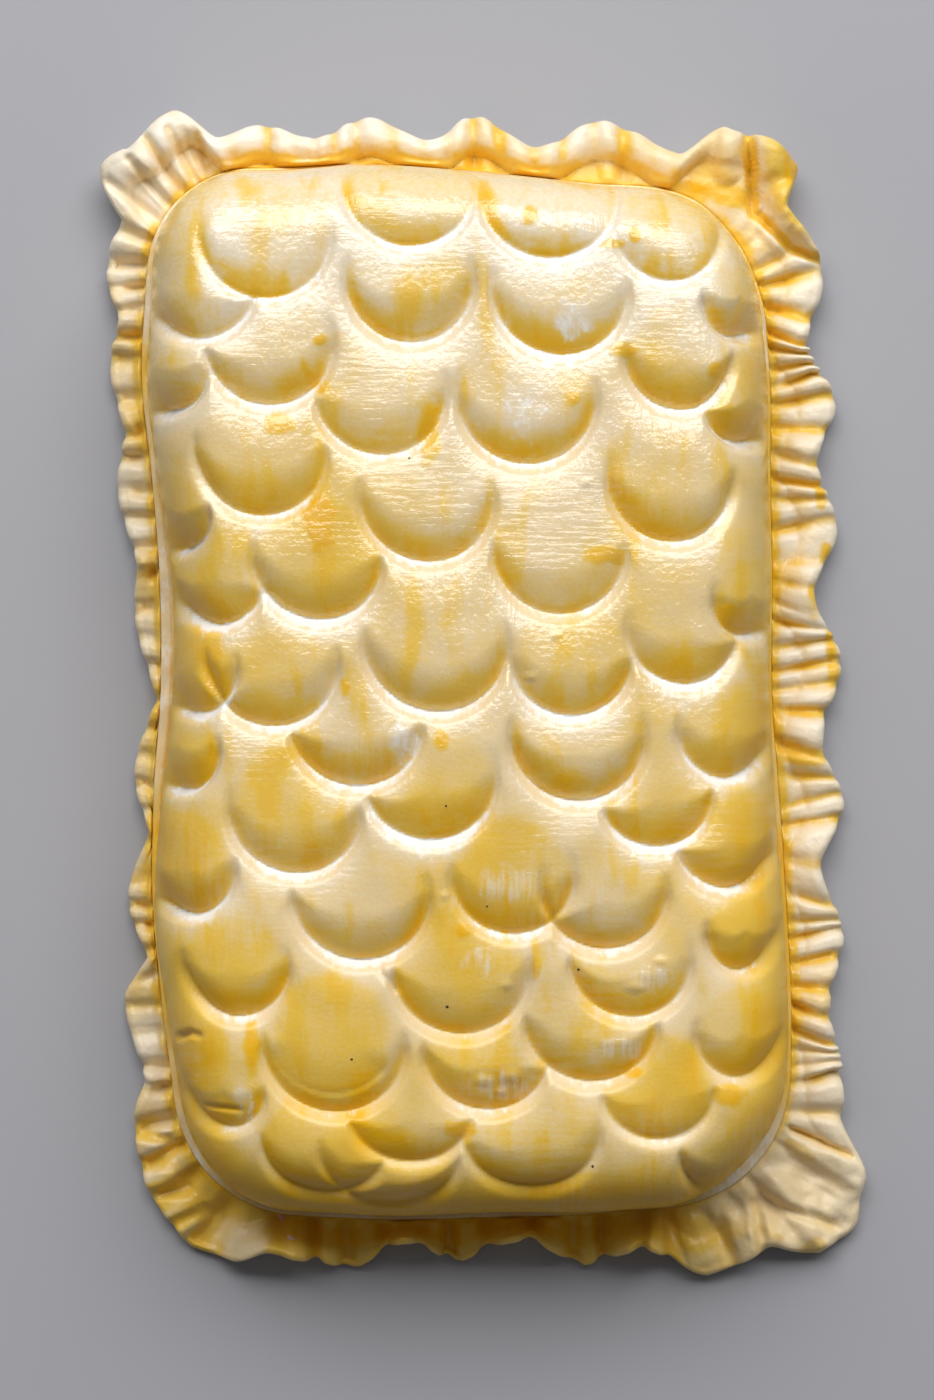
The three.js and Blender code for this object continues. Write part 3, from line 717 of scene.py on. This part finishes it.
def glazed_pastry(wash):
    """Raw pastry under egg wash: pale where it is thin, amber where it gathers, with brush strokes, and with
    painted highlights, sheen and glints mixed white into its colour.
    """
    finish = Finish("glazed_pastry")
    bare_and_highlight, gleam, brushed = (finish.mask(name) for name in ("bare_and_highlight", "gleam", "brushed"))
    patch_across = finish.blotch((30, 36, 20), 0.52, 0.68, 1)
    patch_along = finish.blotch((36, 30, 20), 0.54, 0.66, 1, shift=3)
    across = finish.blotch((130, 880, 60), 0.32, 0.7, 3)
    along = finish.blotch((900, 150, 60), 0.32, 0.7, 3)
    # A glint painted white into the colour over the wet patches: painted highlight
    painted_glint = finish.scaled(along, gleam)
    across = finish.scaled(across, finish.sum(0.2, patch_across, (bare_and_highlight, 0.6)))
    along = finish.scaled(along, finish.sum(patch_along, (bare_and_highlight, 0.8), gleam))
    speckle = finish.blotch((700, 700, 300), 0.3, 0.7, 2)
    strokes = finish.sum((across, 0.5), (along, 0.5), (speckle, 0.3))
    clouds = finish.blotch((42, 30, 30), 0.38, 0.72, 3, shift=5)
    streaks = finish.blotch((150, 40, 60), 0.5, 0.74, 3, shift=8)
    rich = finish.blotch((95, 110, 60), 0.4, 0.56, 3, shift=11)
    grain = finish.blotch((1100, 1100, 600), 0.25, 0.75, 3, shift=17)
    gathered = finish.scaled(finish.mask("pool"), finish.sum(0.42, (rich, 0.5), (streaks, 0.4)))
    spread = finish.sum((clouds, 0.34), (streaks, 0.38), (grain, 0.1))
    thickness = finish.sum(spread, gathered, finish.mask("run_and_painted_light"), finish.mask("drop"), (bare_and_highlight, -0.8))
    ragged = finish.blotch((480, 260, 200), 0.25, 0.75, 4, 0.6, shift=14)
    # Ragged pale crescents and bare patches: thin wash, with a painted highlight on the crescents
    frayed = finish.math("SUBTRACT", bare_and_highlight, finish.sum(0.14, (ragged, 0.56)))
    ragged_white_and_highlight = finish.sum((frayed, 2.6))
    thin = finish.sum(1, (thickness, -1.6))
    # Painted sheen: white mixed in at the far end where the wash is thin
    painted_sheen = finish.scaled(finish.scaled(finish.mask("painted_sheen"), thin), finish.sum(0.24, (speckle, 0.28)))
    # All that is mixed towards white: bare pastry, painted highlights, painted sheen and painted glints, and
    # painted highlight streaks along the brush strokes
    white = finish.sum(ragged_white_and_highlight, painted_sheen, (painted_glint, 0.4), (across, 0.1), (along, 0.1))
    tint = finish.mix(finish.scaled(white, 0.9), finish.wash_colour(thickness, wash), wash.pale_and_highlight)
    finish.bump(finish.scaled(strokes, brushed), 1, 0.0003, "Coat Normal")
    finish.bump(grain, 0.3, 0.0001, "Normal")
    finish.settings(
        Base_Color=tint,
        Roughness=finish.sum(0.42, (clouds, 0.14)),
        Specular_IOR_Level=0.12,
        Coat_Weight=finish.sum(0.1, (brushed, 0.85)),
        Coat_Roughness=0.26,
        Coat_IOR=1.85,
        Subsurface_Weight=0.1,
        Subsurface_Radius=(1, 0.75, 0.45),
        Subsurface_Scale=0.002,
    )
    return finish.material


def border_pastry(wash):
    """Raw crimped pastry: pale ridges and amber creases, with two dry, dull spots; its near side's thicker
    wash is partly painted shade.
    """
    finish = Finish("border_pastry")
    dry = finish.mask("dry")
    grain = finish.blotch((420, 420, 420), 0.2, 0.8, 3)
    clouds = finish.blotch((75, 60, 60), 0.35, 0.75, 3, shift=2)
    rich = finish.blotch((120, 120, 120), 0.3, 0.66, 4, 0.6, shift=6)
    gathered = finish.scaled(finish.mask("pool"), finish.math("ADD", 0.4, finish.scaled(rich, 0.8)))
    washed = finish.sum((clouds, 0.24), gathered, finish.mask("run_and_painted_light"))
    thickness = finish.scaled(washed, finish.sum(1, (dry, -0.8)))
    pale = finish.scaled(finish.sum(1, (thickness, -2.5)), finish.sum(0.7, (dry, -0.55)))
    finish.bump(grain, 0.4, 0.0003, "Normal", "Coat Normal")
    finish.settings(
        Base_Color=finish.mix(pale, finish.wash_colour(thickness, wash), wash.pale_and_highlight),
        Roughness=finish.sum(0.46, (dry, 0.25)),
        Specular_IOR_Level=0.35,
        Coat_Weight=0.45,
        Coat_Roughness=0.25,
        Subsurface_Weight=0.1,
        Subsurface_Radius=(1, 0.7, 0.4),
        Subsurface_Scale=0.0025,
    )
    return finish.material


class WELLINGTON_OT_lid(bpy.types.Operator):
    """Drapes a grid over the dome and presses the fish scales into it"""

    bl_idname = "wellington.lid"
    bl_label = "Scaled lid"

    def execute(self, context):
        lid = context.scene.wellington_lid
        points, masks = lid_surface(lid)
        bm = grid_mesh(leaned(points, lid), masks)
        edge = [e for e in bm.edges if e.is_boundary]
        skirt = bmesh.ops.extrude_edge_only(bm, edges=edge)["geom"]
        for vert in (v for v in skirt if isinstance(v, bmesh.types.BMVert)):
            vert.co.z = LID_LOW.z
        bmesh.ops.holes_fill(bm, edges=[e for e in bm.edges if e.is_boundary])
        finished("lid", bm, glazed_pastry(context.scene.wellington_wash), "scaled_lid")
        return {"FINISHED"}


def side_size(sizes, out_x, out_y):
    """A four-sided size of the border along an outward direction, blended where two sides meet."""
    far, right, near, left = sizes
    side = np.where(out_x > 0, right, left)
    end = np.where(out_y > 0, far, near)
    return side * out_x**2 + end * out_y**2


def ruffle_turns(share, foot_x, foot_y, lid):
    """The ruffle's lobes and notches in order: share of the way round, width, and 0 for a notch to 1
    for a lobe."""
    right, far = lid.foot_width / 2, lid.foot_length / 2
    turns = []
    for name, marks in RUFFLE.items():
        for at, width in marks:
            if name in CORNERS:
                radius = getattr(lid, name)
                x = CORNERS[name][0] * (right - radius) + radius * math.cos(math.radians(at))
                y = CORNERS[name][1] * (far - radius) + radius * math.sin(math.radians(at))
            elif name in ("far", "near"):
                x, y = at * MM, far if name == "far" else -far
            else:
                x, y = right if name == "right" else -right, at * MM
            nearest = np.argmin((foot_x - x) ** 2 + (foot_y - y) ** 2)
            turns.append((share[nearest], width * MM))
    places, widths = np.array(sorted(turns)).T
    lobes = 0.5 * (widths > np.roll(widths, 1)) + 0.5 * (widths > np.roll(widths, -1))
    return places, widths, lobes


def between(places, share):
    """For places in order round a loop: which comes before and after each share of the way round, and how
    far the share is from the one to the other."""
    after = np.searchsorted(places, share, side="right")
    before = after - 1
    begin = places[before] - (before < 0)
    end = places[after % len(places)] + (after == len(places))
    return before, after % len(places), np.clip((share - begin) / (end - begin), 0, 1)


def ruffle(share, foot_x, foot_y, out_x, out_y, lid):
    """The border's width all round, and 0 in a notch to 1 on a lobe."""
    places, widths, lobes = ruffle_turns(share, foot_x, foot_y, lid)
    before, after, part = between(places, share)
    first, second = widths[before], widths[after]
    rising = second > first
    even = 0.5 - 0.5 * np.cos(math.pi * part)
    late = 1 - np.cos(math.pi / 2 * part)
    early = np.sin(math.pi / 2 * part)
    keen_notch = np.where(rising, early, late)
    keen_lobe = np.where(rising, late, early)
    sharp = np.where(out_x < -0.7, 0.7, 0)
    arched = np.where(out_y < -0.7, 0.35, 0)
    eased = even + sharp * (keen_notch - even) + arched * (keen_lobe - even)
    lobe = lobes[before] + (lobes[after] - lobes[before]) * eased
    return first + (second - first) * eased, lobe


def creases(total, border, lobe, out_x, out_y):
    """Seeded creases round the border: share of the way round, depth, slant, fades at the edge and at
    the lid, and the height of the ridge after each."""
    rng = random.Random(SEED + 1)
    corner = 4 * (out_x * out_y) ** 2
    pitch = side_size(border.pitch, out_x, out_y) * (1 + np.where(out_x < 0, 0.25, -0.2) * corner)
    depth = side_size(border.crease, out_x, out_y) * (1 - np.where(out_y > 0, 0.8, 0.2) * corner)
    depth = depth * np.where(out_y > 0.5, 0.3 + 0.7 * lobe, 1) * (1 - 0.6 * corner * (out_x > 0))
    made = []
    at = 0.0
    while at < total - 0.003:
        index = int(at / total * len(out_x))
        deep = rng.choice((0.35, 0.5, 0.7, 0.85, 1, 1.1))
        lean = 0.06 + 0.2 * np.clip(out_x[index], 0, 1)
        slant = lean * math.sin(44 * math.pi * at / total + 0.7) + rng.uniform(-0.05, 0.05)
        fades = rng.uniform(-0.5, 0.8), rng.uniform(-0.6, 0.7)
        made.append((at / total, depth[index] * deep, slant, *fades, rng.uniform(-0.5, 0.7) * MM))
        at += pitch[index] * rng.uniform(0.62, 1.42)
    return np.array(made).T


def pleats(share, part, total, folds, keen):
    """Depth below the ridges at a share of the border's width, and how far into a crease that is. Keen
    creases are narrow between broad ridges."""
    places, depths, slants, fade_out, fade_in, ridges = folds
    places = places + slants * part * SLANT_REACH * MM / total
    held_out = 1 - np.clip(fade_out, 0, 1) * smooth(0.35, 1.0, part)
    held_in = 1 - np.clip(fade_in, 0, 1) * (1 - smooth(0.05, 0.6, part))
    strengths = depths * held_out * held_in
    before, after, way = between(places, share)
    depth = strengths[before] * (1 - way) + strengths[after] * way
    valley = (0.5 + 0.5 * np.cos(2 * math.pi * way)) ** keen
    ridge = ridges[before] * (1 - valley) * math.sin(math.pi * (0.15 + 0.7 * part))
    return depth * valley - ridge, valley**2 * np.clip(depth / (FULL_CREASE * MM), 0, 1)


def border_surface(border, lid):
    """The border's surface as rings of points from under the sheet, round its edge, to the lid's foot,
    with its masks."""
    share = np.arange(border.rounds) / border.rounds
    even_x, even_y, out_x, out_y, total = foot_outline(share, lid)
    width, lobe = ruffle(share, even_x, even_y, out_x, out_y, lid)
    foot_x, foot_y = strayed(even_x, even_y, lid)
    corner = 4 * (out_x * out_y) ** 2
    lift = (1 - lobe) ** 1.2 * side_size(border.lift, out_x, out_y) * (1 - 0.8 * corner)
    droop = lobe * side_size(border.droop, out_x, out_y)
    rope = side_size(border.rope, out_x, out_y) * (1 + 0.6 * corner * (out_y > 0))
    flap = corner * (out_x > 0) * (out_y < 0)
    keen = 1.2 + 0.6 * out_x**2 + 0.6 * np.clip(-out_y, 0, 1)
    rope = rope * (1 - 0.75 * corner * (out_x > 0))
    folds = creases(total, border, lobe, out_x, out_y)
    thickness = side_size(border.thickness, out_x, out_y)
    nose = np.minimum(thickness / 2, 0.8 * width)
    gap = LID_GAP * MM
    notch = 0.3 - 0.2 * np.clip(-out_x, 0, 1)
    left = np.clip(-1.4 * out_x, 0, 1) * smooth(-0.8, -0.1, out_y)
    rich = 0.7 - 0.55 * left
    rings = []

    def ring(part, face, turn=0.0):
        """One ring at a share of the border's width, on its upper face, its rounded edge or below."""
        depth, crease = pleats(share, part, total, folds, keen)
        reach = gap + part * (width - nose - gap) - notch * depth * smooth(0.5, 1, part)
        if face == "edge":
            reach = reach + nose * math.cos(turn)
        x, y = foot_x + out_x * reach, foot_y + out_y * reach
        shown = smooth(0, 0.12, part)
        fold = cut(x, y, FOLDS)
        from_edge = (width - gap - part * (width - nose - gap)) / border.rope_half - 1
        rolled = np.clip(1 - from_edge**2, 0, 1) ** 0.6
        web = border.inner_top + (border.web_top - border.inner_top) * smooth(0, 0.4, part)
        web = web + 0.0018 * corner * (out_y > 0) * smooth(0, 0.3, part)
        top = web + lift * part**1.3 - droop * part**1.5 + rope * rolled * shown
        top = top - (depth + fold) * (0.35 + 0.65 * shown)
        crumpled = flap * (0.0018 * lumps(x, y, 0.007, 9) + 0.0008 * lumps(x, y, 0.003, 10))
        top = top + (0.0005 * lumps(x, y, 0.007, 6) + cut(x, y, ROLLS, 0.8) + crumpled) * shown
        half = thickness / 2
        if face == "over":
            z = np.maximum(top, LEAST_TOP * MM)
        elif face == "edge":
            z = np.maximum(top - half, half) + half * math.sin(turn)
        else:
            z = np.maximum(top - border.inner_top - (thickness - border.inner_top) * part, 0)
        amber = np.maximum(crease, np.clip(fold / (FULL_FOLD * MM), 0, 1))
        under_rope = np.clip(out_y, 0, 1) ** 2 * (1 - smooth(0.3, 0.75, part))
        # Amber on the near border's web beside the lid: wash, and partly painted shade where the lid shadows
        # it
        near_web_wash_and_shade = np.clip(-out_y, 0, 1) ** 3 * (1 - smooth(0.6, 0.85, part))
        amber = np.maximum(amber, np.maximum(0.8 * under_rope, 0.9 * near_web_wash_and_shade)) * rich
        amber = np.maximum(amber, cut(x, y, BORDER_WASH) / MM)
        rings.append((x, y, z, amber if face == "over" or turn > 0 else 0.3 * amber))

    for part in (0, 0.2, 0.4, 0.6, 0.8, 0.93):
        ring(part, "under")
    for turn in np.radians([-90, -66, -42, -18, 6, 30, 54, 75]):
        ring(1, "edge", turn)
    for part in np.linspace(1, 0, 22):
        ring(float(part), "over")
    x, y, z, amber = (np.array(layer) for layer in zip(*rings))
    x, y, amber = (np.concatenate([layer, layer[-1:]]) for layer in (x, y, amber))
    z = np.concatenate([z, np.full_like(z[-1:], border.sheet_top)])
    away = np.hypot(x - foot_x, y - foot_y)
    seam = (0.8 - 0.35 * left) * np.exp(-((away / 0.0019) ** 2))
    dry = np.max([np.exp(-off_spot(x, y, spot)) for spot in DRY_SPOTS], axis=0)
    # Wash over the border, thickest on the near side; there it is partly painted shade, as that side lies in
    # the lid's shadow
    low = 0.42 * np.clip(-out_y, 0, 1) ** 4 + 0.06 * np.clip(out_x, 0, 1) + np.zeros_like(x)
    low = low + 0.03 + 0.08 * np.clip(-out_x, 0, 1) ** 2 * (1 - 0.5 * np.clip(out_y, 0, 1))
    return np.stack([x, y, z], axis=-1), {"pool": np.maximum(amber, seam), "dry": dry, "run_and_painted_light": low}


class WELLINGTON_OT_border(bpy.types.Operator):
    """Lays a grid round the lid's foot as the ruffled border and closes it under the lid"""

    bl_idname = "wellington.border"
    bl_label = "Crimped border"

    def execute(self, context):
        lid = context.scene.wellington_lid
        points, masks = border_surface(context.scene.wellington_border, lid)
        points = np.concatenate([points, points[:, :1]], axis=1)
        masks = {key: np.concatenate([value, value[:, :1]], axis=1) for key, value in masks.items()}
        bm = grid_mesh(leaned(points, lid), masks)
        bmesh.ops.remove_doubles(bm, verts=bm.verts, dist=1e-7)
        bmesh.ops.holes_fill(bm, edges=[e for e in bm.edges if e.is_boundary])
        finished("border", bm, border_pastry(context.scene.wellington_wash), "crimped_base")
        return {"FINISHED"}


def lie_on(name, x, y, lid):
    """The point and the outward direction of a piece's surface below a place of the lid's plan."""
    place = leaned(np.array([x, y, 0.0]) * MM, lid)
    hit, at, normal, _ = bpy.data.objects[name].ray_cast(Vector((place[0], place[1], 1)), Vector((0, 0, -1)))
    if not hit:
        raise RuntimeError(f"nothing of {name} lies at {x}, {y}")
    return at, normal


def mottled(name, light, dark):
    """A dull finish mottled between two colours."""
    finish = Finish(name)
    patches = finish.blotch((900, 900, 900), 0.35, 0.65, 3)
    finish.bump(patches, 0.3, 0.0001, "Normal")
    finish.settings(Base_Color=finish.mix(patches, light, dark), Roughness=0.45)
    return finish.material


class WELLINGTON_OT_specks(bpy.types.Operator):
    """Sets the few dark specks on the lid"""

    bl_idname = "wellington.specks"
    bl_label = "Specks"

    def execute(self, context):
        lid, wash = context.scene.wellington_lid, context.scene.wellington_wash
        context.view_layer.update()
        bm = bmesh.new()
        for x, y, radius in SPECKS:
            at, normal = lie_on("lid", x, y, lid)
            turn = Vector((0, 0, 1)).rotation_difference(normal).to_matrix().to_4x4()
            flat = Matrix.Diagonal((radius * MM, radius * MM, 0.4 * radius * MM, 1))
            place = Matrix.Translation(at) @ turn @ flat
            bmesh.ops.create_icosphere(bm, subdivisions=2, radius=1, matrix=place)
        pale = tuple(2.2 * part for part in wash.pepper)
        finished("specks", bm, mottled("pepper", pale, wash.pepper))
        return {"FINISHED"}


class WELLINGTON_OT_shred(bpy.types.Operator):
    """Lays the small shreds of filling on the near border"""

    bl_idname = "wellington.shred"
    bl_label = "Shred"

    def execute(self, context):
        lid, wash = context.scene.wellington_lid, context.scene.wellington_wash
        bm = bmesh.new()
        noise.seed_set(SEED)
        for x, y, long, wide, heading in SHREDS:
            at, _ = lie_on("border", x, y, lid)
            turn = Matrix.Rotation(math.radians(heading), 4, "Z")
            flat = Matrix.Diagonal((long * MM, wide * MM, 0.45 * wide * MM, 1))
            place = Matrix.Translation(at + Vector((0, 0, 0.2 * wide * MM))) @ turn @ flat
            made = bmesh.ops.create_icosphere(bm, subdivisions=3, radius=1, matrix=place)
            for vert in made["verts"]:
                vert.co += 0.0005 * noise.noise_vector(vert.co / 0.0016)
        pale = tuple(min(1, 1.25 * part) for part in wash.salmon)
        finished("shred", bm, mottled("salmon", pale, wash.salmon))
        return {"FINISHED"}


def softbox(name, place, aim, size, power, tint):
    """A soft rectangular light at a place, turned to its aim."""
    light = bpy.data.lights.new(name, "AREA")
    light.shape = "RECTANGLE"
    light.size, light.size_y = size
    light.energy = power
    light.color = tint
    lamp = bpy.data.objects.new(name, light)
    lamp.location = place
    lamp.rotation_euler = (Vector(aim) - Vector(place)).to_track_quat("-Z", "Y").to_euler()
    bpy.context.scene.collection.objects.link(lamp)


class WELLINGTON_OT_stage(bpy.types.Operator):
    """Sets the plain floor, the soft light from the far side and the camera straight above"""

    bl_idname = "wellington.stage"
    bl_label = "Stage"

    def execute(self, context):
        scene = context.scene
        stage = scene.wellington_stage
        bm = bmesh.new()
        bmesh.ops.create_grid(bm, x_segments=8, y_segments=8, size=4)
        mesh = bpy.data.meshes.new("floor")
        bm.to_mesh(mesh)
        bm.free()
        floor = bpy.data.objects.new("floor", mesh)
        scene.collection.objects.link(floor)
        finish = Finish("floor")
        finish.settings(Base_Color=(*stage.floor, 1), Roughness=0.6)
        mesh.materials.append(finish.material)

        window = {"size": (3.4, 1.5), "power": 74, "tint": (1, 0.99, 0.97)}
        softbox("window", place=(0.08, 1.55, 1.62), aim=(0, 0.02, 0.02), **window)
        sky = {"size": (1.2, 0.5), "power": 0.3, "tint": (0.96, 0.98, 1)}
        softbox("sky", place=(-0.05, 0.5, 1.2), aim=(0, 0, 0.02), **sky)

        world = bpy.data.worlds.new("studio")
        world.use_nodes = True
        background = world.node_tree.nodes["Background"]
        background.inputs["Color"].default_value = (0.95, 0.95, 0.97, 1)
        background.inputs["Strength"].default_value = 0.1
        scene.world = world
        scene.view_settings.view_transform = "Standard"

        across, along = lid_middle(scene.wellington_lid)
        eye = bpy.data.cameras.new("camera")
        eye.sensor_width = SENSOR
        eye.lens = SENSOR * stage.camera_height / stage.view_length
        camera = bpy.data.objects.new("camera", eye)
        camera.location = (across + stage.view_x, along + stage.view_y, stage.camera_height)
        scene.collection.objects.link(camera)
        scene.camera = camera
        return {"FINISHED"}


OPERATORS = (
    WELLINGTON_OT_lid,
    WELLINGTON_OT_border,
    WELLINGTON_OT_specks,
    WELLINGTON_OT_shred,
    WELLINGTON_OT_stage,
)
GROUPS = {
    "wellington_lid": WellingtonLid,
    "wellington_border": WellingtonBorder,
    "wellington_wash": WellingtonWash,
    "wellington_stage": WellingtonStage,
}


class WELLINGTON_PT_panel(bpy.types.Panel):
    """Lists the parcel's sizes and the steps that make it"""

    bl_idname = "WELLINGTON_PT_panel"
    bl_label = "Salmon wellington"
    bl_space_type = "VIEW_3D"
    bl_region_type = "UI"
    bl_category = "Wellington"

    def draw(self, context):
        for operator in OPERATORS:
            self.layout.operator(operator.bl_idname)
        for name, group in GROUPS.items():
            box = self.layout.box()
            for key in group.__annotations__:
                box.prop(getattr(context.scene, name), key)


def register():
    for group in GROUPS.values():
        bpy.utils.register_class(group)
    for name, group in GROUPS.items():
        setattr(bpy.types.Scene, name, PointerProperty(type=group))
    for operator in OPERATORS:
        bpy.utils.register_class(operator)
    bpy.utils.register_class(WELLINGTON_PT_panel)


def unregister():
    bpy.utils.unregister_class(WELLINGTON_PT_panel)
    for operator in reversed(OPERATORS):
        bpy.utils.unregister_class(operator)
    for name in GROUPS:
        delattr(bpy.types.Scene, name)
    for group in reversed(GROUPS.values()):
        bpy.utils.unregister_class(group)


def main():
    register()
    bpy.ops.wellington.lid()
    bpy.ops.wellington.border()
    bpy.ops.wellington.specks()
    bpy.ops.wellington.shred()
    bpy.ops.wellington.stage()


if __name__ == "__main__":
    main()
